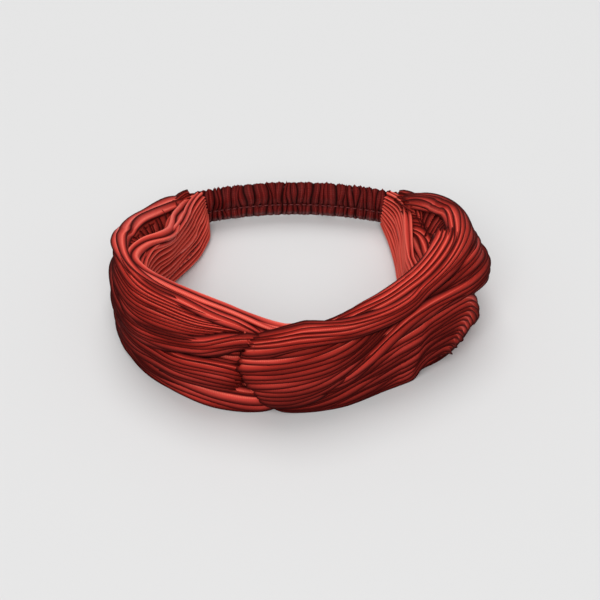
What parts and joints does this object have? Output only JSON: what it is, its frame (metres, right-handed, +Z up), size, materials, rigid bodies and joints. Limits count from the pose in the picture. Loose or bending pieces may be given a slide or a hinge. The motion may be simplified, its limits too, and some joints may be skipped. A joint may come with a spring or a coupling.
{
  "type": "elastic headband",
  "caption": "Wide twisted headband: two pleated satin loops hooked into each other at the front, both sewn to a gathered elastic back band.",
  "frame": {"origin": "middle of the footprint, on the surface that the band stands on", "axes": "+Z up, away from that surface; the twist faces -Y and the elastic back is at +Y; +X is the side of the loop that wraps over the twist"},
  "size_m": [0.1928, 0.1575, 0.0542],
  "materials": {
    "pleated_satin": "brick-red pleated polyester satin with a fine cross rib and a soft sheen",
    "sleeve_satin": "darker wine-red satin, gathered",
    "elastic": "woven elastic tape dyed to match",
    "thread": "matching polyester sewing thread"
  },
  "bodies": {
    "right_side": {"right_loop": "pleated_satin", "right_edge_seam": "thread"},
    "left_side": {"left_loop": "pleated_satin", "left_edge_seam": "thread"},
    "elastic_back": {"back_sleeve": "sleeve_satin", "back_elastic": "elastic", "shirring_row": "thread", "sleeve_seam": "thread", "left_join_seam": "thread", "right_join_seam": "thread"}
  },
  "joints": [
    {"name": "ring_stretch", "type": "hinge", "parent": "right_side", "child": "left_side", "pos_m": [-0.013, -0.06865, 0.022], "axis": [0, 0, 1], "range_deg": [0, 35], "stiffness_Nm_per_rad": 1.1},
    {"name": "back_follow", "type": "hinge", "parent": "right_side", "child": "elastic_back", "pos_m": [-0.013, -0.06865, 0.0125], "axis": [0, 0, 1], "range_deg": [0, 17.5]}
  ],
  "couplings": [
    {"joint": "back_follow", "follows": "ring_stretch", "ratio": 0.5}
  ]
}
